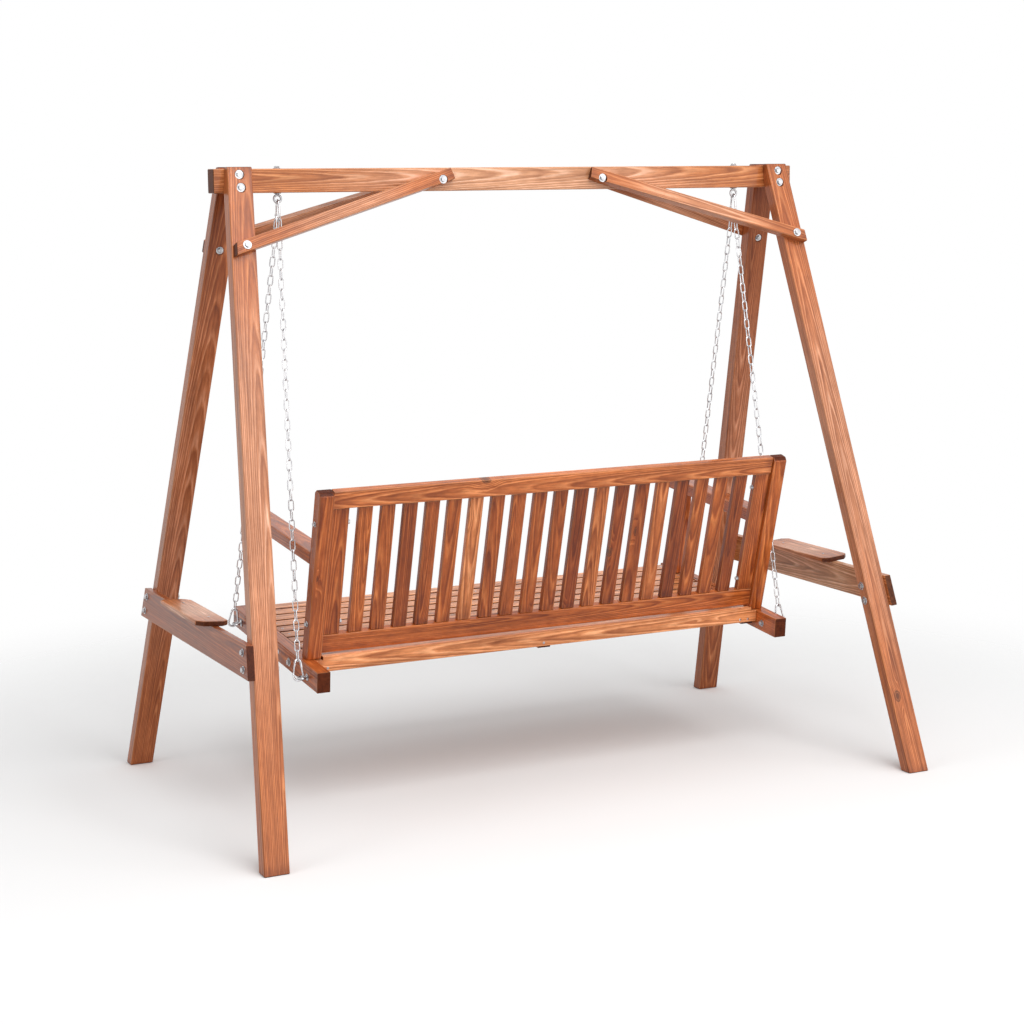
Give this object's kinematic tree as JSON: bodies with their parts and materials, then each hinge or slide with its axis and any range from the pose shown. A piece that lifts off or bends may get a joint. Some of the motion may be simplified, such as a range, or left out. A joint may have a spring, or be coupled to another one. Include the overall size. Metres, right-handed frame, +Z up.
{
  "type": "garden swing",
  "caption": "Free-standing timber garden swing: splayed A-frame legs and knee braces carry a beam, from which a slatted bench with arms hangs on chains with snap hooks and swings.",
  "frame": {"origin": "On the ground, under the middle of the beam and midway between the four feet.", "axes": "+X along the beam, to the right of someone who faces the bench from the front; the bench faces -Y; +Z up."},
  "size_m": [2.0698, 1.21, 1.7525],
  "materials": {
    "stand_timber": "orange-brown stained softwood, satin",
    "bench_timber": "orange-brown stained softwood, satin",
    "bolt_steel": "zinc-plated",
    "chain_steel": "bright zinc-plated"
  },
  "bodies": {
    "stand": {"beam_bolts": "bolt_steel", "beam_eye_bolts": "bolt_steel", "beam_eye_nuts": "bolt_steel", "beam_nuts": "bolt_steel", "brace_bolts": "bolt_steel", "brace_front_left": "stand_timber", "brace_front_right": "stand_timber", "brace_nuts": "bolt_steel", "brace_rear_left": "stand_timber", "brace_rear_right": "stand_timber", "leg_front_left": "stand_timber", "leg_front_right": "stand_timber", "leg_rear_left": "stand_timber", "leg_rear_right": "stand_timber", "shelf_left": "stand_timber", "shelf_right": "stand_timber", "tie_bolts": "bolt_steel", "tie_left": "stand_timber", "tie_nuts": "bolt_steel", "tie_right": "stand_timber", "top_beam": "stand_timber"},
    "swing": {"arm_left": "bench_timber", "arm_post_left": "bench_timber", "arm_post_right": "bench_timber", "arm_right": "bench_timber", "back_bolts": "bolt_steel", "back_bottom_rail": "bench_timber", "back_end_board_left": "bench_timber", "back_end_board_right": "bench_timber", "back_nuts": "bolt_steel", "back_slats": "bench_timber", "back_stile_left": "bench_timber", "back_stile_right": "bench_timber", "back_top_rail": "bench_timber", "batten_bolts": "bolt_steel", "batten_nuts": "bolt_steel", "chain_front_left": "chain_steel", "chain_front_right": "chain_steel", "chain_rear_left": "chain_steel", "chain_rear_right": "chain_steel", "rail_eye_bolts": "bolt_steel", "rail_eye_nuts": "bolt_steel", "seat_batten_left": "bench_timber", "seat_batten_middle": "bench_timber", "seat_batten_right": "bench_timber", "seat_front_rail": "bench_timber", "seat_rail_left": "bench_timber", "seat_rail_right": "bench_timber", "seat_rear_apron": "bench_timber", "seat_slats": "bench_timber", "snap_hooks": "chain_steel"},
    "gate_top_left": {"hook_gate_top_left": "chain_steel"},
    "gate_top_right": {"hook_gate_top_right": "chain_steel"},
    "gate_rear_left": {"hook_gate_rear_left": "chain_steel"},
    "gate_rear_right": {"hook_gate_rear_right": "chain_steel"},
    "gate_front_left": {"hook_gate_front_left": "chain_steel"},
    "gate_front_right": {"hook_gate_front_right": "chain_steel"}
  },
  "joints": [
    {"name": "swing_pivot", "type": "hinge", "parent": "stand", "child": "swing", "pos_m": [0, 0, 1.655], "axis": [1, 0, 0], "range_deg": [-25, 25]},
    {"name": "gate_top_left_hinge", "type": "hinge", "parent": "swing", "child": "gate_top_left", "pos_m": [0.718, -0.01378, 1.62177], "axis": [-1, 0, 0], "range_deg": [0, 20], "stiffness_Nm_per_rad": 0.05, "springref_deg": -11.46},
    {"name": "gate_top_right_hinge", "type": "hinge", "parent": "swing", "child": "gate_top_right", "pos_m": [-0.718, -0.01378, 1.62177], "axis": [-1, 0, 0], "range_deg": [0, 20], "stiffness_Nm_per_rad": 0.05, "springref_deg": -11.46},
    {"name": "gate_rear_left_hinge", "type": "hinge", "parent": "swing", "child": "gate_rear_left", "pos_m": [0.78037, 0.19776, 0.40672], "axis": [0, -0.9876, -0.157], "range_deg": [0, 20], "stiffness_Nm_per_rad": 0.05, "springref_deg": -11.46},
    {"name": "gate_rear_right_hinge", "type": "hinge", "parent": "swing", "child": "gate_rear_right", "pos_m": [-0.78037, 0.19776, 0.40672], "axis": [0, 0.9876, 0.157], "range_deg": [0, 20], "stiffness_Nm_per_rad": 0.05, "springref_deg": -11.46},
    {"name": "gate_front_left_hinge", "type": "hinge", "parent": "swing", "child": "gate_front_left", "pos_m": [0.78036, -0.3284, 0.4557], "axis": [0, -0.9633, 0.2683], "range_deg": [0, 20], "stiffness_Nm_per_rad": 0.05, "springref_deg": -11.46},
    {"name": "gate_front_right_hinge", "type": "hinge", "parent": "swing", "child": "gate_front_right", "pos_m": [-0.78036, -0.3284, 0.4557], "axis": [0, 0.9633, -0.2683], "range_deg": [0, 20], "stiffness_Nm_per_rad": 0.05, "springref_deg": -11.46}
  ]
}
